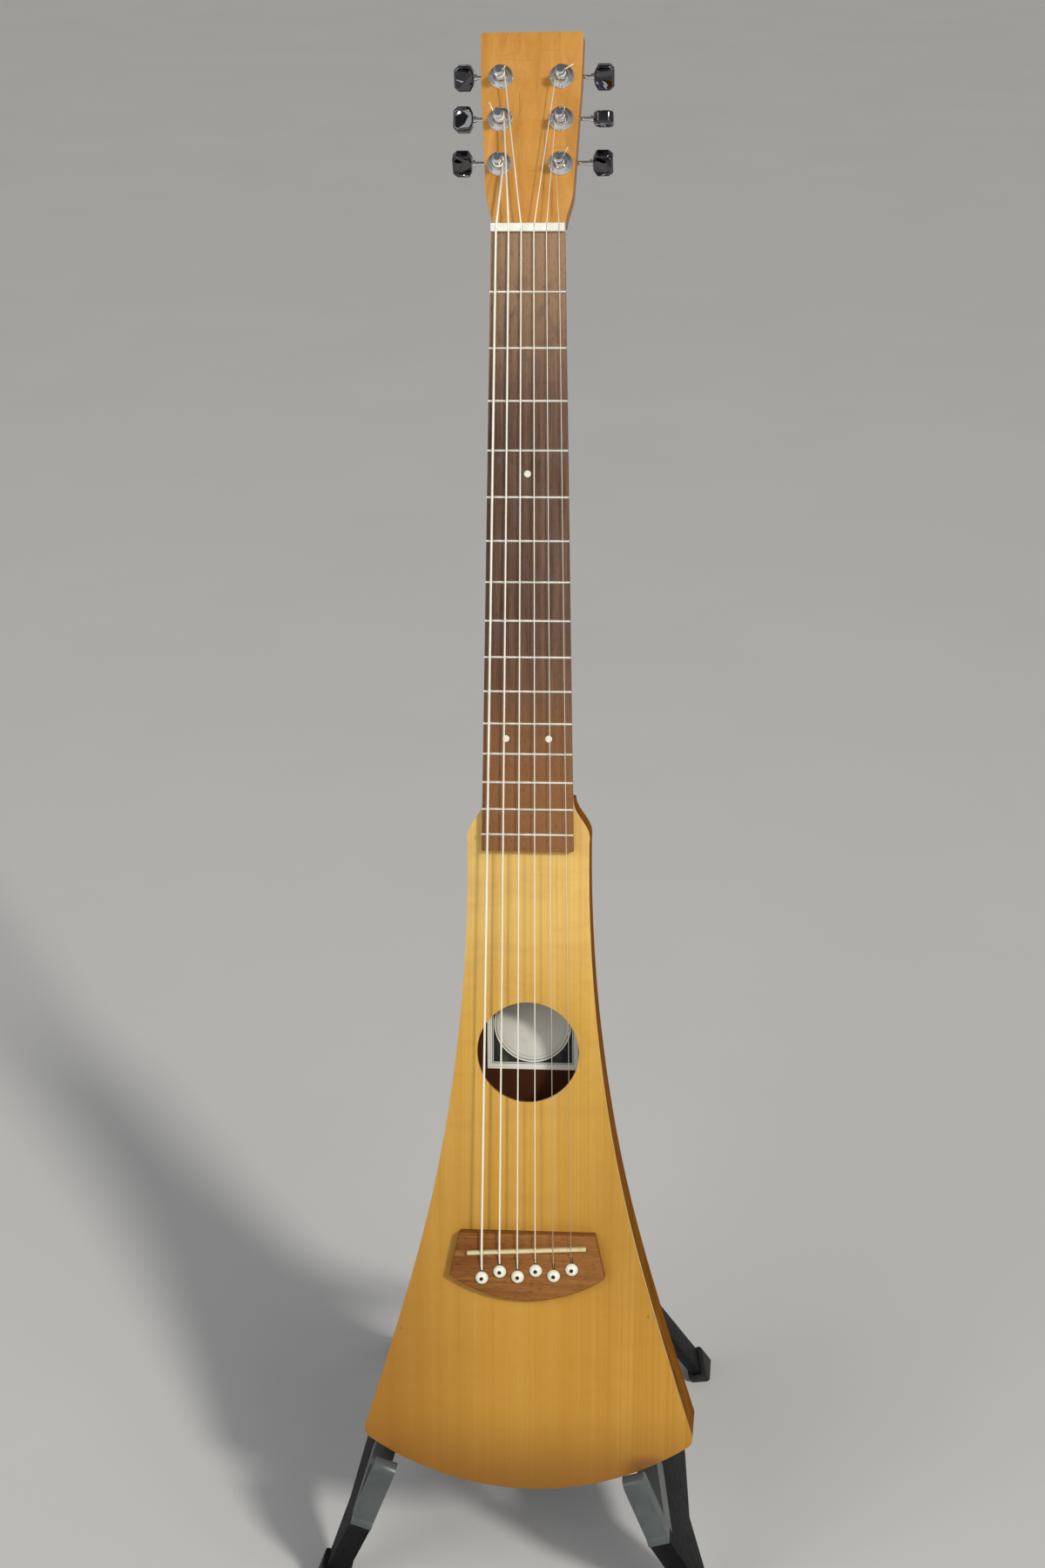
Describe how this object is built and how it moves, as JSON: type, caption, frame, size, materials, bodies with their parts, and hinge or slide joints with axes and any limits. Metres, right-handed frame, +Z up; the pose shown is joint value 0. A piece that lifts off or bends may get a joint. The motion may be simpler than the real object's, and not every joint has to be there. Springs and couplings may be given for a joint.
{
  "type": "guitar on stand",
  "caption": "Slim wedge-bodied steel-string travel guitar with angled headstock and geared tuners, leaning on a low folding A-frame stand with padded V cradles.",
  "frame": {"origin": "on the floor, under the centre of the whole object", "axes": "+Z up; the soundboard faces -Y and leans back towards +Y; +X to the right as seen from the front"},
  "size_m": [0.267, 0.3234, 0.9629],
  "materials": {
    "mahogany": "satin varnish over straight grain",
    "spruce": "aged amber satin lacquer",
    "maple": "bare",
    "rosewood": "oiled, open grain",
    "fret_metal": "polished nickel silver",
    "bone": "polished",
    "pearl_white": "gloss",
    "pin_plastic": "gloss",
    "paper": "matte",
    "chrome": "polished",
    "steel": "satin",
    "string_wound": "wound bronze",
    "string_plain": "plain steel",
    "stand_black": "satin black moulding",
    "silicone": "translucent grey-blue silicone",
    "foot_rubber": "matte"
  },
  "bodies": {
    "stand_hinge": {"hinge_block": "stand_black", "hinge_pins": "steel", "back_pad": "silicone"},
    "guitar": {"neck": "mahogany", "truss_rod": "steel", "fretboard": "rosewood", "frets": "fret_metal", "nut": "bone", "position_dots": "pearl_white", "soundboard": "spruce", "body_shell": "mahogany", "top_braces": "spruce", "bridge_plate": "maple", "label": "paper", "bridge": "rosewood", "saddle": "bone", "bridge_pins": "pin_plastic", "tuner_housings": "chrome", "tuner_fasteners": "chrome", "string_1": "string_plain", "string_2": "string_plain", "string_3": "string_wound", "string_4": "string_wound", "string_5": "string_wound", "string_6": "string_wound"},
    "post_1": {"tuner_post_1": "chrome", "string_winding_1": "string_plain"},
    "button_1": {"tuner_button_1": "chrome"},
    "post_2": {"tuner_post_2": "chrome", "string_winding_2": "string_plain"},
    "button_2": {"tuner_button_2": "chrome"},
    "post_3": {"tuner_post_3": "chrome", "string_winding_3": "string_wound"},
    "button_3": {"tuner_button_3": "chrome"},
    "post_4": {"tuner_post_4": "chrome", "string_winding_4": "string_wound"},
    "button_4": {"tuner_button_4": "chrome"},
    "post_5": {"tuner_post_5": "chrome", "string_winding_5": "string_wound"},
    "button_5": {"tuner_button_5": "chrome"},
    "post_6": {"tuner_post_6": "chrome", "string_winding_6": "string_wound"},
    "button_6": {"tuner_button_6": "chrome"},
    "left_leg": {"left_front_leg": "stand_black", "left_sleeve": "silicone", "left_pivot_bolt": "steel", "left_front_foot": "foot_rubber"},
    "left_rear": {"left_rear_leg": "stand_black", "left_rear_foot": "foot_rubber"},
    "right_leg": {"right_front_leg": "stand_black", "right_sleeve": "silicone", "right_pivot_bolt": "steel", "right_front_foot": "foot_rubber"},
    "right_rear": {"right_rear_leg": "stand_black", "right_rear_foot": "foot_rubber"}
  },
  "joints": [
    {"name": "guitar_lift", "type": "slide", "parent": "stand_hinge", "child": "guitar", "axis": [0, 0.1392, 0.9903], "range_m": [0, 0.16]},
    {"name": "left_leg_fold", "type": "hinge", "parent": "stand_hinge", "child": "left_leg", "pos_m": [-0.017, -0.0382, 0.29986], "axis": [0, -1, 0], "range_deg": [0, 16.5]},
    {"name": "left_rear_fold", "type": "hinge", "parent": "left_leg", "child": "left_rear", "pos_m": [-0.03069, -0.0418, 0.26122], "axis": [-0.9426, 0, 0.3338], "range_deg": [0, 40]},
    {"name": "right_leg_fold", "type": "hinge", "parent": "stand_hinge", "child": "right_leg", "pos_m": [0.017, -0.0382, 0.29986], "axis": [0, 1, 0], "range_deg": [0, 16.5]},
    {"name": "right_rear_fold", "type": "hinge", "parent": "right_leg", "child": "right_rear", "pos_m": [0.03069, -0.0418, 0.26122], "axis": [-0.9426, 0, -0.3338], "range_deg": [0, 40]},
    {"name": "button_1_turn", "type": "hinge", "parent": "guitar", "child": "button_1", "pos_m": [0.0273, 0.08075, 0.88965], "axis": [0.9997, 0.0062, 0.0231], "continuous": true},
    {"name": "post_1_turn", "type": "hinge", "parent": "guitar", "child": "post_1", "pos_m": [0.00975, 0.06057, 0.8928], "axis": [-0.0046, -0.8988, 0.4383], "continuous": true},
    {"name": "button_2_turn", "type": "hinge", "parent": "guitar", "child": "button_2", "pos_m": [0.02668, 0.09228, 0.91328], "axis": [0.9997, 0.0062, 0.0231], "continuous": true},
    {"name": "post_2_turn", "type": "hinge", "parent": "guitar", "child": "post_2", "pos_m": [0.00913, 0.0721, 0.91643], "axis": [-0.0046, -0.8988, 0.4383], "continuous": true},
    {"name": "button_3_turn", "type": "hinge", "parent": "guitar", "child": "button_3", "pos_m": [0.02609, 0.10328, 0.93583], "axis": [0.9997, 0.0062, 0.0231], "continuous": true},
    {"name": "post_3_turn", "type": "hinge", "parent": "guitar", "child": "post_3", "pos_m": [0.00854, 0.0831, 0.93899], "axis": [-0.0046, -0.8988, 0.4383], "continuous": true},
    {"name": "button_4_turn", "type": "hinge", "parent": "guitar", "child": "button_4", "pos_m": [-0.04469, 0.10284, 0.9342], "axis": [-0.9997, -0.0062, -0.0231], "continuous": true},
    {"name": "post_4_turn", "type": "hinge", "parent": "guitar", "child": "post_4", "pos_m": [-0.02705, 0.08288, 0.93817], "axis": [-0.0046, -0.8988, 0.4383], "continuous": true},
    {"name": "button_5_turn", "type": "hinge", "parent": "guitar", "child": "button_5", "pos_m": [-0.0441, 0.09184, 0.91165], "axis": [-0.9997, -0.0062, -0.0231], "continuous": true},
    {"name": "post_5_turn", "type": "hinge", "parent": "guitar", "child": "post_5", "pos_m": [-0.02646, 0.07188, 0.91561], "axis": [-0.0046, -0.8988, 0.4383], "continuous": true},
    {"name": "button_6_turn", "type": "hinge", "parent": "guitar", "child": "button_6", "pos_m": [-0.04348, 0.08031, 0.88802], "axis": [-0.9997, -0.0062, -0.0231], "continuous": true},
    {"name": "post_6_turn", "type": "hinge", "parent": "guitar", "child": "post_6", "pos_m": [-0.02584, 0.06035, 0.89198], "axis": [-0.0046, -0.8988, 0.4383], "continuous": true}
  ],
  "couplings": [
    {"joint": "left_leg_fold", "follows": "guitar_lift", "rad_per_m": 1.8},
    {"joint": "left_rear_fold", "follows": "guitar_lift", "rad_per_m": 4.36},
    {"joint": "right_leg_fold", "follows": "guitar_lift", "rad_per_m": 1.8},
    {"joint": "right_rear_fold", "follows": "guitar_lift", "rad_per_m": 4.36},
    {"joint": "post_1_turn", "follows": "button_1_turn", "ratio": 0.071429},
    {"joint": "post_2_turn", "follows": "button_2_turn", "ratio": 0.071429},
    {"joint": "post_3_turn", "follows": "button_3_turn", "ratio": 0.071429},
    {"joint": "post_4_turn", "follows": "button_4_turn", "ratio": 0.071429},
    {"joint": "post_5_turn", "follows": "button_5_turn", "ratio": 0.071429},
    {"joint": "post_6_turn", "follows": "button_6_turn", "ratio": 0.071429}
  ]
}
